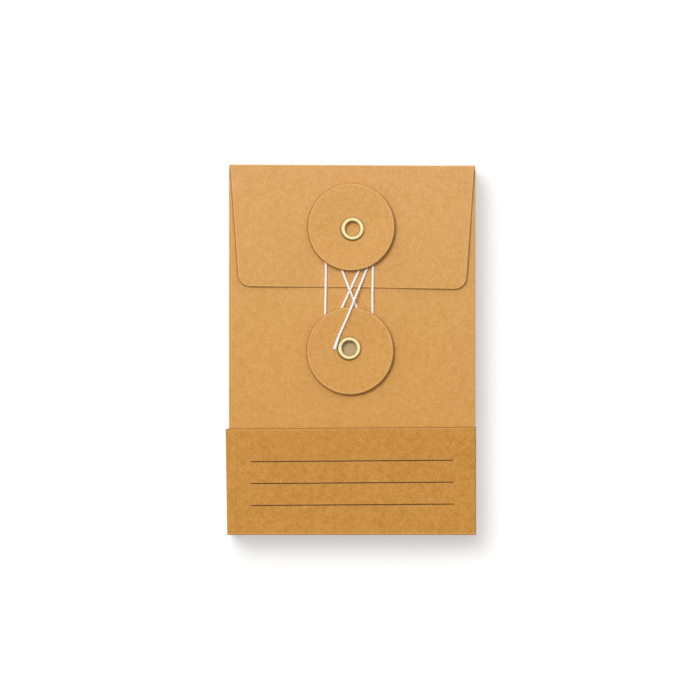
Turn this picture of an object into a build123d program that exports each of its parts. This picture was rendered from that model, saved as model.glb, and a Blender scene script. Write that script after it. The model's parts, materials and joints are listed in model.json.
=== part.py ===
from build123d import *
import os
from math import acos, atan2, ceil, cos, degrees, hypot, pi, radians, sin, tan

import numpy as np

# A pack of string tie envelopes in a paper band, lying on its back. Millimetres.
# +Z leaves the front face, +Y runs up to the flap's crease, and the origin is under the middle of the pack.

os.makedirs("parts", exist_ok=True)

# Pack
envelope_count = 8
stack_gap = 0.06

# Envelope sheet
envelope_width = 90.0
envelope_height = 135.0
paper = 0.14
seam_inset = 2.0
seam_tab_width = 12.0
bottom_tab_length = 14.0
bottom_tab_inset = 3.0
mouth_drop = 6.0
edge_clearance = 0.3

# Closing flap, as a share of the envelope's height
flap_share = 0.33111
flap_taper = 3.5
flap_corner_radius = 4.0

# Buttons: a board disc on a smaller board spacer, held by a brass eyelet
disc_diameter = 32.0
disc_thickness = 0.28
spacer_diameter = 13.8
disc_play = 0.02
upper_button_x = 0.1
upper_button_drop = 0.95
lower_button_x = -1.1
lower_disc_gap = 6.2
upper_disc_shift = (-0.5, 0.5)
lower_disc_shift = (0.3, -1.15)

# Eyelets
barrel_diameter = 5.6
barrel_wall = 0.2
barrel_clearance = 0.05
flange_diameter = 8.5
flange_height = 0.22
roll_diameter = 7.2
roll_height = 0.13
roll_clearance = 0.04
lip_share = 0.35

# String
string_diameter = 0.75
groove_clearance = 0.04
string_gap = 0.46
loop_clearance = 0.1
tuck_sweep = 70.0
corner_sweep = 60.0
run_share = 0.45
step_drop = 1.0
hump_half = 0.6
tail_lift = 0.3
tail_hump_half = 1.5

# Band, as a share of the envelope's height
band_share = 0.28963
band_paper = 0.2
band_clearance = 0.1
band_side_clearance = 0.5
band_lap = 24.0

# Heights in one envelope, above the outer face of its back panel
front_bottom = 2 * paper + roll_height + roll_clearance
front_top = front_bottom + paper
flap_bottom = front_top + roll_height + roll_clearance
flap_top = flap_bottom + paper
bottom_tab_top = front_top + paper
spacer_height = string_diameter + 2 * groove_clearance
disc_rise = spacer_height + disc_play
flange_rise = disc_rise + disc_thickness + disc_play
envelope_thickness = flap_top + flange_rise + flange_height

# Stack: the front envelope is on top, and each spare lies one pitch lower
pitch = envelope_thickness + stack_gap
base = 2 * band_paper + band_clearance + (envelope_count - 1) * pitch

# Outline of the envelope and its folds
flap_length = flap_share * envelope_height
band_height = band_share * envelope_height
half_width = envelope_width / 2
half_height = envelope_height / 2
right_fold_radius = front_top / 2
left_fold_radius = front_bottom / 2
bottom_fold_radius = bottom_tab_top / 2
crease_radius = flap_top / 2
left_end = -half_width + left_fold_radius
right_end = half_width - right_fold_radius
bottom_end = -half_height + bottom_fold_radius
crease_line = half_height - crease_radius
mouth = half_height - mouth_drop
front_low = bottom_end + edge_clearance
flap_foot = half_height - flap_length
band_top = -half_height + band_height

# Button axes: the upper one just below the middle of the flap, the lower one clear of the flap's foot
barrel_radius = barrel_diameter / 2
bore_radius = barrel_radius + barrel_clearance
disc_radius = disc_diameter / 2
spacer_radius = spacer_diameter / 2
upper_axis = (upper_button_x, half_height - flap_length / 2 - upper_button_drop)
lower_axis = (lower_button_x, flap_foot - lower_disc_gap - disc_radius)
upper_seat = base + flap_top
lower_seat = base + front_top


def sheet(x_low, x_high, y_low, y_high):
    """Rectangle between two corners, in the sketch that is open."""
    with Locations(((x_low + x_high) / 2, (y_low + y_high) / 2)):
        Rectangle(x_high - x_low, y_high - y_low)


def fold_section(radius):
    """Half ring one paper thick, bulging along the sketch's x, in the sketch that is open."""
    inner = radius - paper
    with BuildLine() as ring:
        ThreePointArc((0, -radius), (radius, 0), (0, radius))
        Line((0, radius), (0, inner))
        ThreePointArc((0, inner), (inner, 0), (0, -inner))
        Line((0, -inner), (0, -radius))
    make_face(ring.edges())


# Pocket of the front envelope: back, front, seam tab and bottom tab, joined by half round folds
with BuildPart() as back_panel:
    with BuildSketch(Plane.XY.offset(base)):
        sheet(left_end, right_end, bottom_end, crease_line)
        # Above the mouth the sheet isn't folded, so it is as wide as the folds below
        sheet(-half_width, half_width, mouth, crease_line)
    extrude(amount=paper)

with BuildPart() as front_panel:
    with BuildSketch(Plane.XY.offset(base + front_bottom)):
        sheet(-half_width + seam_inset, right_end, front_low, mouth)
        with Locations(lower_axis):
            Circle(bore_radius, mode=Mode.SUBTRACT)
    extrude(amount=paper)

with BuildPart() as side_seam_tab:
    with BuildSketch(Plane.XY.offset(base + front_bottom - paper)):
        sheet(left_end, -half_width + seam_tab_width, front_low, mouth)
    extrude(amount=paper)

with BuildPart() as bottom_tab:
    with BuildSketch(Plane.XY.offset(base + front_top)):
        tab_reach = half_width - bottom_tab_inset
        sheet(-tab_reach, tab_reach, bottom_end, -half_height + bottom_tab_length)
    extrude(amount=paper)

right_fold_plane = Plane((right_end, mouth, base + right_fold_radius), x_dir=(1, 0, 0), z_dir=(0, -1, 0))
with BuildPart() as right_fold:
    with BuildSketch(right_fold_plane):
        fold_section(right_fold_radius)
    extrude(amount=mouth - front_low)

left_fold_plane = Plane((left_end, front_low, base + left_fold_radius), x_dir=(-1, 0, 0), z_dir=(0, 1, 0))
with BuildPart() as left_fold:
    with BuildSketch(left_fold_plane):
        fold_section(left_fold_radius)
    extrude(amount=mouth - front_low)

bottom_fold_plane = Plane(
    (tab_reach, bottom_end, base + bottom_fold_radius), x_dir=(0, -1, 0), z_dir=(-1, 0, 0)
)
with BuildPart() as bottom_fold:
    with BuildSketch(bottom_fold_plane):
        fold_section(bottom_fold_radius)
    extrude(amount=2 * tab_reach)

# Closing flap: a tapered sheet with round corners, which the crease joins to the back panel
crease_plane = Plane((-half_width, crease_line, base + crease_radius), x_dir=(0, 1, 0), z_dir=(1, 0, 0))
with BuildPart() as flap_crease:
    with BuildSketch(crease_plane):
        fold_section(crease_radius)
    extrude(amount=envelope_width)

with BuildPart() as closing_flap:
    with BuildSketch(Plane.XY.offset(base + flap_bottom)) as flap_outline:
        foot_reach = half_width - flap_taper
        with BuildLine():
            Polyline(
                (-half_width, crease_line),
                (-foot_reach, flap_foot),
                (foot_reach, flap_foot),
                (half_width, crease_line),
                close=True,
            )
        make_face()
        fillet(flap_outline.vertices().group_by(Axis.Y)[0], flap_corner_radius)
        with Locations(upper_axis):
            Circle(bore_radius, mode=Mode.SUBTRACT)
    extrude(amount=paper)


def make_disc(axis, shift, seat):
    """Board disc whose bore turns on the eyelet. It was punched a little off its own centre."""
    with BuildPart() as disc:
        with BuildSketch(Plane.XY.offset(seat + disc_rise)):
            with Locations((axis[0] + shift[0], axis[1] + shift[1])):
                Circle(disc_radius)
            with Locations(axis):
                Circle(bore_radius, mode=Mode.SUBTRACT)
        extrude(amount=disc_thickness)
    return disc


def make_eyelet(axis, seat, sheet_bottom):
    """Brass eyelet: domed flange over the disc, barrel, and the end rolled out under the paper."""
    bore = barrel_radius - barrel_wall
    flange_radius = flange_diameter / 2
    roll_radius = roll_diameter / 2
    flange_bottom = seat + flange_rise
    flange_lip = flange_bottom + lip_share * flange_height
    roll_lip = sheet_bottom - lip_share * roll_height
    with BuildPart() as eyelet:
        with BuildSketch(Plane((*axis, 0), x_dir=(1, 0, 0), z_dir=(0, -1, 0))):
            with BuildLine():
                Line((bore, roll_lip), (bore, flange_lip))
                ThreePointArc(
                    (bore, flange_lip),
                    ((bore + flange_radius) / 2, flange_bottom + flange_height),
                    (flange_radius, flange_bottom),
                )
                Line((flange_radius, flange_bottom), (barrel_radius, flange_bottom))
                Line((barrel_radius, flange_bottom), (barrel_radius, sheet_bottom))
                Line((barrel_radius, sheet_bottom), (roll_radius, sheet_bottom))
                ThreePointArc(
                    (roll_radius, sheet_bottom),
                    ((bore + roll_radius) / 2, sheet_bottom - roll_height),
                    (bore, roll_lip),
                )
            make_face()
        revolve(axis=Axis((*axis, 0), (0, 0, 1)))
    return eyelet


upper_disc = make_disc(upper_axis, upper_disc_shift, upper_seat)
lower_disc = make_disc(lower_axis, lower_disc_shift, lower_seat)
upper_eyelet = make_eyelet(upper_axis, upper_seat, base + flap_bottom)
lower_eyelet = make_eyelet(lower_axis, lower_seat, base + front_bottom)

with BuildPart() as lower_spacer:
    with BuildSketch(Plane.XY.offset(lower_seat)):
        with Locations(lower_axis):
            Circle(spacer_radius)
            Circle(bore_radius, mode=Mode.SUBTRACT)
    extrude(amount=spacer_height)


def around(axis, radius, angle):
    """Point at an angle, in degrees, on a circle about an axis."""
    return (axis[0] + radius * cos(radians(angle)), axis[1] + radius * sin(radians(angle)))


def touch_angle(point, axis, radius, side):
    """Angle where a line from a point touches a turn, to the left (+1) or right (-1) of the axis."""
    away = (point[0] - axis[0], point[1] - axis[1])
    return degrees(atan2(away[1], away[0])) + side * degrees(acos(radius / hypot(*away)))


# The string is looped round the upper barrel, and its two ends leave through the spacer's open mouth
loop_radius = barrel_radius + string_diameter / 2 + loop_clearance
loop_room = string_diameter / 2 + loop_clearance
falling_bend = (upper_axis[0] + 3.5, upper_axis[1] - 12.5)
tail_bend = (upper_axis[0] + 6.0, upper_axis[1] - 12.6)
loop_angles = (
    touch_angle(falling_bend, upper_axis, loop_radius, -1) + 360,
    touch_angle(tail_bend, upper_axis, loop_radius, 1),
)

with BuildPart() as upper_spacer:
    with BuildSketch(Plane.XY.offset(upper_seat)):
        with Locations(upper_axis):
            Circle(spacer_radius)
            Circle(loop_radius + loop_room, mode=Mode.SUBTRACT)
        with BuildLine():
            Polyline(
                upper_axis,
                around(upper_axis, loop_radius + loop_room, loop_angles[0]),
                around(falling_bend, loop_room, loop_angles[0]),
                around(tail_bend, loop_room, loop_angles[1]),
                around(upper_axis, loop_radius + loop_room, loop_angles[1]),
                close=True,
            )
        make_face(mode=Mode.SUBTRACT)
    extrude(amount=spacer_height)

# String. Each strand is a tangent between turns round the spacers.
upper_level = upper_seat + spacer_height / 2
lower_level = lower_seat + spacer_height / 2
tail_level = lower_seat + disc_rise + disc_thickness + groove_clearance + string_diameter / 2
span = hypot(upper_axis[0] - lower_axis[0], upper_axis[1] - lower_axis[1])
heading = degrees(atan2(upper_axis[1] - lower_axis[1], upper_axis[0] - lower_axis[0]))

# A strand steps down from the flap to the front panel, clear of the turning discs at both ends
upper_reach = disc_radius + hypot(*upper_disc_shift) + edge_clearance
lower_reach = disc_radius + hypot(*lower_disc_shift) + edge_clearance
step_top = flap_foot - step_drop
step_foot = lower_axis[1] + lower_reach
upper_rim = upper_axis[1] - upper_reach


def turn(axis, level, radii, angles):
    """Corners of a string's turn, whose radius and angle change steadily from the first to the last."""
    corners = ceil(abs(angles[1] - angles[0]) / corner_sweep)
    step = (angles[1] - angles[0]) / corners
    shares = [(i + 0.5) / corners for i in range(corners)]
    grown = [(radii[0] + share * (radii[1] - radii[0])) / cos(radians(step / 2)) for share in shares]
    return [(*around(axis, r, angles[0] + s * corners * step), level) for r, s in zip(grown, shares)]


def side_angle(lower_radius, upper_radius, side):
    """Angle, the same at both axes, where a strand on one side touches the two turns."""
    return heading + side * degrees(acos((lower_radius - upper_radius) / span))


def along(start, end, y, level):
    """Point at a given y on the straight line between two points."""
    share = (y - start[1]) / (end[1] - start[1])
    return (start[0] + share * (end[0] - start[0]), y, level)


def crossing(a, b, c, d):
    """The y where the line through a and b meets the line through c and d."""
    ab = (b[0] - a[0], b[1] - a[1])
    cd = (d[0] - c[0], d[1] - c[1])
    share = ((c[0] - a[0]) * cd[1] - (c[1] - a[1]) * cd[0]) / (ab[0] * cd[1] - ab[1] * cd[0])
    return a[1] + share * ab[1]


def arc_radii(points):
    """Radius at each corner: the largest that its two runs leave room for."""
    radii = []
    for before, corner, after in zip(points, points[1:], points[2:]):
        arriving = Vector(corner) - Vector(before)
        leaving = Vector(after) - Vector(corner)
        half_turn = radians(arriving.get_angle(leaving)) / 2
        radii.append(run_share * min(arriving.length, leaving.length) / tan(half_turn))
    return radii


def make_string(points, name):
    """Tube of string along a route, with its length, least radius and least gap to itself printed."""
    radii = arc_radii(points)
    with BuildPart() as string:
        with BuildLine() as line:
            FilletPolyline(*points, radius=radii)
        with BuildSketch(Plane(points[0], z_dir=Vector(points[1]) - Vector(points[0]))):
            Circle(string_diameter / 2)
        sweep()
    wire = line.wire()
    places = np.linspace(0, 1, ceil(wire.length / (string_diameter / 2)))
    dots = np.array([tuple(wire @ place) for place in places])
    apart = np.linalg.norm(dots[:, None] - dots[None], axis=2)
    near = np.abs(np.subtract.outer(places, places)) * wire.length < pi * string_diameter
    gap = np.min(np.where(near, np.inf, apart)) - string_diameter
    share = string.part.volume / (wire.length * pi * string_diameter**2 / 4)
    print(f"{name}: length {wire.length:.1f}, least radius {min(radii):.2f}, least gap {gap:.2f}")
    print(f"{name}: volume over section times length {share:.4f}, radii", [round(r, 1) for r in radii])
    return string


# The front envelope's string, from its end tucked under the upper disc to its tail on the lower disc:
# down the left, round the lower button, up the right, over the upper one, down and up the two slanting
# strands, round the upper eyelet's barrel, and down across the lower disc.
left_radii = (8.98, 9.6)
right_radii = (8.6, 7.6)
rising_radii = (7.3, 8.3)
falling_radius = 7.7
left_angle = side_angle(*left_radii, 1)
right_angle = side_angle(*right_radii, -1)
swing = degrees(acos(sum(rising_radii) / span))
rising_low_angle = heading - swing
rising_high_angle = heading + 180 - swing
falling_high = (upper_axis[0] + 2.27, upper_axis[1] - 15.0)
tail_high = (upper_axis[0] + 5.4, upper_axis[1] - 14.3)
tail_cross = (lower_axis[0] + 1.72, lower_axis[1] + 17.3)
tail_rest = (lower_axis[0] - 0.6, lower_axis[1] + 11.4)
tail_kink = (lower_axis[0] - 4.23, lower_axis[1] + 3.6)
tail_end = (lower_axis[0] - 5.25, lower_axis[1] - 0.16)

left_high = around(upper_axis, left_radii[1], left_angle)
left_low = around(lower_axis, left_radii[0], left_angle)
right_high = around(upper_axis, right_radii[1], right_angle)
right_low = around(lower_axis, right_radii[0], right_angle)
rising_high = around(upper_axis, rising_radii[1], rising_high_angle)
rising_low = around(lower_axis, rising_radii[0], rising_low_angle)
falling_low_angle = touch_angle(falling_high, lower_axis, falling_radius, 1)
falling_low = around(lower_axis, falling_radius, falling_low_angle)
inner_radii = (rising_radii[0], falling_radius)
inner_angles = (rising_low_angle, falling_low_angle - 360)
hump_middle = crossing(rising_low, rising_high, falling_low, falling_high)
hump_level = upper_level + string_diameter + string_gap

string_points = [
    (*around(upper_axis, left_radii[1], left_angle - tuck_sweep), upper_level),
    *turn(upper_axis, upper_level, (left_radii[1],) * 2, (left_angle - tuck_sweep, left_angle)),
    along(left_high, left_low, step_top, upper_level),
    along(left_high, left_low, step_foot, lower_level),
    *turn(lower_axis, lower_level, (left_radii[0], right_radii[0]), (left_angle, right_angle + 360)),
    along(right_low, right_high, step_foot, lower_level),
    along(right_low, right_high, step_top, upper_level),
    *turn(upper_axis, upper_level, (right_radii[1], rising_radii[1]), (right_angle, rising_high_angle)),
    along(rising_high, rising_low, upper_rim, upper_level),
    along(rising_high, rising_low, hump_middle + hump_half, hump_level),
    along(rising_high, rising_low, hump_middle - hump_half, hump_level),
    along(rising_high, rising_low, step_foot, lower_level),
    *turn(lower_axis, lower_level, inner_radii, inner_angles),
    along(falling_low, falling_high, step_foot, lower_level),
    along(falling_low, falling_high, step_top, upper_level),
    (*falling_high, upper_level),
    (*falling_bend, upper_level),
    *turn(upper_axis, upper_level, (loop_radius,) * 2, loop_angles),
    (*tail_bend, upper_level),
    along(tail_high, tail_cross, upper_rim, upper_level),
    along(tail_high, tail_cross, tail_cross[1] + tail_hump_half, tail_level + tail_lift),
    along(tail_cross, tail_rest, tail_cross[1] - tail_hump_half, tail_level + tail_lift),
    (*tail_rest, tail_level),
    (*tail_kink, tail_level),
    (*tail_end, tail_level),
]
tie_string = make_string(string_points, "tie_string")

# A spare's string lies flatter: from a loop round the barrel, once round both buttons
spare_radius = spacer_radius + string_diameter / 2 + loop_clearance
spare_down_angle = side_angle(spare_radius, loop_radius, -1)
spare_up_angle = side_angle(spare_radius, spare_radius, 1)
spare_loop_angles = (loop_angles[0], spare_down_angle)
spare_tuck_angles = (spare_up_angle, spare_up_angle - tuck_sweep)
spare_down_high = around(upper_axis, loop_radius, spare_down_angle)
spare_down_low = around(lower_axis, spare_radius, spare_down_angle)
spare_up_high = around(upper_axis, spare_radius, spare_up_angle)
spare_up_low = around(lower_axis, spare_radius, spare_up_angle)
spare_loop_start = around(upper_axis, loop_radius, spare_loop_angles[0])

spare_points = [
    along(spare_loop_start, falling_bend, upper_axis[1] - spacer_radius, upper_level),
    *turn(upper_axis, upper_level, (loop_radius,) * 2, spare_loop_angles),
    along(spare_down_high, spare_down_low, step_top, upper_level),
    along(spare_down_high, spare_down_low, step_foot, lower_level),
    *turn(lower_axis, lower_level, (spare_radius,) * 2, (spare_down_angle, spare_up_angle - 360)),
    along(spare_up_low, spare_up_high, step_foot, lower_level),
    along(spare_up_low, spare_up_high, step_top, upper_level),
    *turn(upper_axis, upper_level, (spare_radius,) * 2, spare_tuck_angles),
    (*around(upper_axis, spare_radius, spare_tuck_angles[1]), upper_level),
]
spare_string = make_string(spare_points, "spare_string")

# Band: a sleeve of paper round the lower part of the pack, lapped and glued behind
band_inner = half_width + band_side_clearance
band_outer = band_inner + band_paper
band_front_bottom = base + bottom_tab_top + band_clearance
band_low = -half_height


def band_wall(x_low, x_high, z_low, z_high):
    """One flat side of the band, as tall as the band along Y."""
    with BuildPart() as wall:
        with BuildSketch(Plane.XY.offset(z_low)):
            sheet(x_low, x_high, band_low, band_top)
        extrude(amount=z_high - z_low)
    return wall.part.solid()


belly_band = Compound(
    [
        band_wall(-band_outer, band_outer, band_front_bottom, band_front_bottom + band_paper),
        band_wall(-band_outer, -band_inner, band_paper, band_front_bottom),
        band_wall(band_inner, band_outer, 2 * band_paper, band_front_bottom),
        band_wall(-band_outer, band_lap / 2, 0, band_paper),
        band_wall(-band_lap / 2, band_outer, band_paper, 2 * band_paper),
    ]
)

# Parts of the front envelope, and of the spares behind it
front_envelope = {
    "back_panel": back_panel,
    "front_panel": front_panel,
    "right_fold": right_fold,
    "left_fold": left_fold,
    "side_seam_tab": side_seam_tab,
    "bottom_fold": bottom_fold,
    "bottom_tab": bottom_tab,
    "flap_crease": flap_crease,
    "closing_flap": closing_flap,
    "upper_spacer": upper_spacer,
    "upper_disc": upper_disc,
    "upper_eyelet": upper_eyelet,
    "lower_spacer": lower_spacer,
    "lower_disc": lower_disc,
    "lower_eyelet": lower_eyelet,
    "tie_string": tie_string,
}
for name, piece in front_envelope.items():
    piece.part.label = name
    export_step(piece.part, f"parts/{name}.step")

belly_band.label = "belly_band"
export_step(belly_band, "parts/belly_band.step")

spare_groups = {
    "pocket": (back_panel, front_panel, right_fold, left_fold, side_seam_tab, bottom_fold, bottom_tab),
    "flap": (flap_crease, closing_flap),
    "buttons": (upper_spacer, upper_disc, lower_spacer, lower_disc),
    "eyelets": (upper_eyelet, lower_eyelet),
    "string": (spare_string,),
}
for number in range(2, envelope_count + 1):
    lowered = Location((0, 0, -(number - 1) * pitch))
    for group, pieces in spare_groups.items():
        spare = Compound([piece.part.solid().moved(lowered) for piece in pieces])
        spare.label = f"envelope_{number}_{group}"
        export_step(spare, f"parts/{spare.label}.step")
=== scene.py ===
# %% [markdown]
# A pack of string tie envelopes: eight kraft paper envelopes in a paper band, lying on their backs. The
# imported solids are the frame. Each new piece below is set where its solid is, in metres, and all but the
# flap's sheet ride on the same body, so that the flap still opens, the discs still turn and the envelopes
# still slide out of the band.

# %% Load the frame
import json
from math import cos, pi, radians, sin

import bpy
import numpy as np
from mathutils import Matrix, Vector


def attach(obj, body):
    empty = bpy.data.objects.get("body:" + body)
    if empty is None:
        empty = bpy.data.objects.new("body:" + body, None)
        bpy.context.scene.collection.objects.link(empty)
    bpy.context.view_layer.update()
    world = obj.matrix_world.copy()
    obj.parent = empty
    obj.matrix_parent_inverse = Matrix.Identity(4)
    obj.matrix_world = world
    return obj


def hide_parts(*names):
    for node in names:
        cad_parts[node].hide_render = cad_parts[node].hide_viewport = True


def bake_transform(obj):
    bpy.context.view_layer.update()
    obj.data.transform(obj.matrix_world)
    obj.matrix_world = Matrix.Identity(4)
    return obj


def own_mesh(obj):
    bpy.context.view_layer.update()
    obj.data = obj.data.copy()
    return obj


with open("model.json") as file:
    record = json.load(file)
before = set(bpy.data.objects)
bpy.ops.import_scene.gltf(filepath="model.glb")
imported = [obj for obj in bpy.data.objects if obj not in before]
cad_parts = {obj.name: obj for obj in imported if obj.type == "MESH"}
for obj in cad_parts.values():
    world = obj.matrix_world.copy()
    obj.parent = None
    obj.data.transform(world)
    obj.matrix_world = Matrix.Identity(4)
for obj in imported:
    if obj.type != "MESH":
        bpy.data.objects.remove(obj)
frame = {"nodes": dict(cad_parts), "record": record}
scene = bpy.context.scene
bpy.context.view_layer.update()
nodes = frame["nodes"]
MM = 0.001

# %% [markdown]
# The photograph looks straight down on the pack. A long lens a metre away keeps the sides of the stack
# hidden, as they are there. The frame is 255.6 mm wide at the height of the front paper, and the pack
# stands a little right of its middle, so the camera stands a little left.

# %% Camera
PAPER_HEIGHT = 17.4 * MM
FRAME_WIDTH = 255.6 * MM
CAMERA_RISE = 1.1
CAMERA_X = -0.8 * MM
camera_data = bpy.data.cameras.new("camera")
camera_data.sensor_width = 36.0
camera_data.lens = camera_data.sensor_width * CAMERA_RISE / FRAME_WIDTH
camera_data.clip_start = 0.05
camera_data.clip_end = 20.0
camera = bpy.data.objects.new("camera", camera_data)
camera.location = (CAMERA_X, 0.0, PAPER_HEIGHT + CAMERA_RISE)
scene.collection.objects.link(camera)
scene.camera = camera
scene.view_settings.view_transform = "Standard"
print("lens", round(camera_data.lens, 1), "mm")

# %% [markdown]
# Every new surface here is a grid of points, rows by columns, worked out as one array, and these helpers
# turn it into a mesh of four-sided faces. A way round that closes on itself has no seam, and a tube's two
# ends are closed by one flat face each. A face's corners run anticlockwise as seen from outside, so some
# grids' corners are read backwards.

# %% From a grid of points to a piece
def grid_faces(rows, columns, close_rows, close_columns):
    """Corner numbers of each quad: (r, c), (r, c+1), (r+1, c+1), (r+1, c), modulo the grid's size."""
    r = np.arange(rows if close_rows else rows - 1)
    c = np.arange(columns if close_columns else columns - 1)
    r, c = (way.ravel() for way in np.meshgrid(r, c, indexing="ij"))
    r_next = (r + 1) % rows
    c_next = (c + 1) % columns
    corners = (r * columns + c, r * columns + c_next, r_next * columns + c_next, r_next * columns + c)
    return np.stack(corners, axis=1)


def tube_faces(rings, sides):
    """Faces of a tube: quads between its rings, and one face to close each end."""
    first = np.arange(sides)
    caps = np.array([first[::-1], first + (rings - 1) * sides])
    return grid_faces(rings, sides, False, True), caps


def build(name, points, faces, sharp_degrees=35):
    """Object from an array of points and a list of face arrays, smooth but for edges past an angle."""
    loops = np.concatenate([block.ravel() for block in faces]).astype(np.int32)
    sizes = np.concatenate([np.full(len(block), block.shape[1]) for block in faces])
    mesh = bpy.data.meshes.new(name)
    mesh.vertices.add(len(points))
    mesh.vertices.foreach_set("co", points.astype(np.float32).ravel())
    mesh.loops.add(len(loops))
    mesh.loops.foreach_set("vertex_index", loops)
    mesh.polygons.add(len(sizes))
    mesh.polygons.foreach_set("loop_start", (np.cumsum(sizes) - sizes).astype(np.int32))
    mesh.update(calc_edges=True)
    mesh.shade_smooth()
    mesh.set_sharp_from_angle(angle=radians(sharp_degrees))
    piece = bpy.data.objects.new(name, mesh)
    scene.collection.objects.link(piece)
    print(name, "faces", len(sizes))
    return piece


def attribute(piece, name, values):
    """A number for each point of a piece, which its material can read."""
    layer = piece.data.attributes.new(name, "FLOAT", "POINT")
    layer.data.foreach_set("value", np.asarray(values, np.float32).ravel())


# %% [markdown]
# The string comes next. It starts tucked under the upper disc, goes down the left, round the lower button,
# up the right and over the upper one, crosses down and up in the middle, takes a loop round the upper
# eyelet, and ends in a loose tail on the lower disc. These are the corners of its route, with a point added
# just before each turn, so that straight strands stay straight. Most stretches lie on the flap or on the
# panel below it, and some cross the flap's foot, another strand or the lower disc.

# %% Routes of the strings
ON_FLAP, AT_FOOT, ON_PANEL, OVER_STRAND = 18.125, 18.02, 17.815, 19.335


def joined(*stretches):
    """Corners in metres. Each stretch is a height and then places at that height, in millimetres."""
    return MM * np.array([(*place, height) for height, *places in stretches for place in places])


TIE_ROUTE = joined(
    (ON_FLAP, (-3.06, 53.26), (-5.92, 52.27), (-9.32, 47.35), (-9.38, 41.29), (-9.67, 21.80)),
    (AT_FOOT, (-9.75, 18.09)),
    (ON_PANEL, (-10.00, 4.39), (-10.08, -2.99), (-4.85, -8.20), (2.45, -8.17), (7.53, -3.03)),
    (ON_PANEL, (7.55, 4.19)),
    (AT_FOOT, (7.36, 18.09)),
    (ON_FLAP, (7.42, 21.80), (7.76, 40.50), (7.80, 47.74), (2.40, 52.56), (-4.92, 51.50)),
    (ON_FLAP, (-8.92, 45.08), (-7.00, 37.94), (-2.96, 27.19)),
    (OVER_STRAND, (-1.02, 22.22), (-0.55, 21.02)),
    (AT_FOOT, (0.60, 18.09)),
    (ON_PANEL, (5.00, 6.73), (7.12, -0.60), (2.62, -6.95), (-5.27, -6.84), (-9.71, -0.20)),
    (ON_PANEL, (-6.90, 8.40)),
    (AT_FOOT, (-2.50, 18.09)),
    (ON_FLAP, (-0.81, 21.80), (2.56, 29.20), (3.74, 31.70), (-1.97, 41.25), (-3.49, 43.86)),
    (ON_FLAP, (-2.49, 46.71), (0.33, 47.80), (2.99, 46.36), (3.61, 43.42), (6.10, 31.60)),
    (ON_FLAP, (4.40, 27.19)),
    (19.58, (1.23, 19.40)),
    (19.62, (0.03, 16.40)),
    (19.4, (-1.70, 12.00)),
    (19.08, (-5.33, 4.20)),
    (19.11, (-6.35, 0.44)),
)
SPARE_ROUTE = joined(
    (ON_FLAP, (0.33, 37.30), (-1.93, 41.18), (-3.53, 43.92), (-2.37, 46.87), (0.65, 47.80)),
    (ON_FLAP, (3.26, 46.00), (3.47, 42.84), (4.88, 21.80)),
    (ON_PANEL, (5.12, 18.09), (6.05, 4.24), (6.47, -2.06), (2.20, -6.71), (-4.11, -6.84)),
    (ON_PANEL, (-8.56, -2.35), (-8.39, 3.97), (-8.00, 18.09)),
    (ON_FLAP, (-7.89, 21.80), (-7.34, 42.08), (-7.21, 46.73), (-4.44, 50.46), (-2.23, 51.20)),
)
print("route points", len(TIE_ROUTE), len(SPARE_ROUTE))

# %% [markdown]
# A string bends, but it has no corners. So its line is a NURBS curve with the route's points as its control
# points, made by Blender, read back as a mesh of points and then measured out in even steps.

# %% Line of a string
def string_line(route, step):
    """Points a step apart on the NURBS curve that has the route as its control points."""
    data = bpy.data.curves.new("route", "CURVE")
    data.dimensions = "3D"
    spline = data.splines.new("NURBS")
    spline.points.add(len(route) - 1)
    spline.points.foreach_set("co", np.column_stack([route, np.ones(len(route))]).ravel())
    spline.order_u = 3
    spline.use_endpoint_u = True
    spline.resolution_u = 32
    curve = bpy.data.objects.new("route", data)
    scene.collection.objects.link(curve)
    bpy.context.view_layer.update()
    mesh = bpy.data.meshes.new_from_object(curve)
    line = np.zeros(3 * len(mesh.vertices), np.float32)
    mesh.vertices.foreach_get("co", line)
    bpy.data.objects.remove(curve)
    line = line.reshape(-1, 3).astype(float)
    travelled = np.concatenate([[0], np.cumsum(np.linalg.norm(np.diff(line, axis=0), axis=1))])
    places = np.linspace(0, travelled[-1], int(travelled[-1] / step) + 1)
    return places, np.column_stack([np.interp(places, travelled, line[:, k]) for k in range(3)])


# %% [markdown]
# A bevel on that curve would make a smooth wire. Real cotton string is plied: three yarns twist round each
# other. So a section with three lobes is carried along the line, turning as it goes.

# %% Plied string
STRING_DIAMETER = 0.75 * MM
YARNS = 3
PLY_PITCH = 3.3 * MM
PLY_SOFTNESS = 0.5
PLY_WIDE = 1.2
PLY_HIGH = 1.08
SWOLLEN_LENGTH = 7.0 * MM
UP = np.array([0.0, 0.0, 1.0])


def unit(vectors):
    """Each vector divided by its length."""
    return vectors / np.linalg.norm(vectors, axis=-1, keepdims=True)


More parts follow.
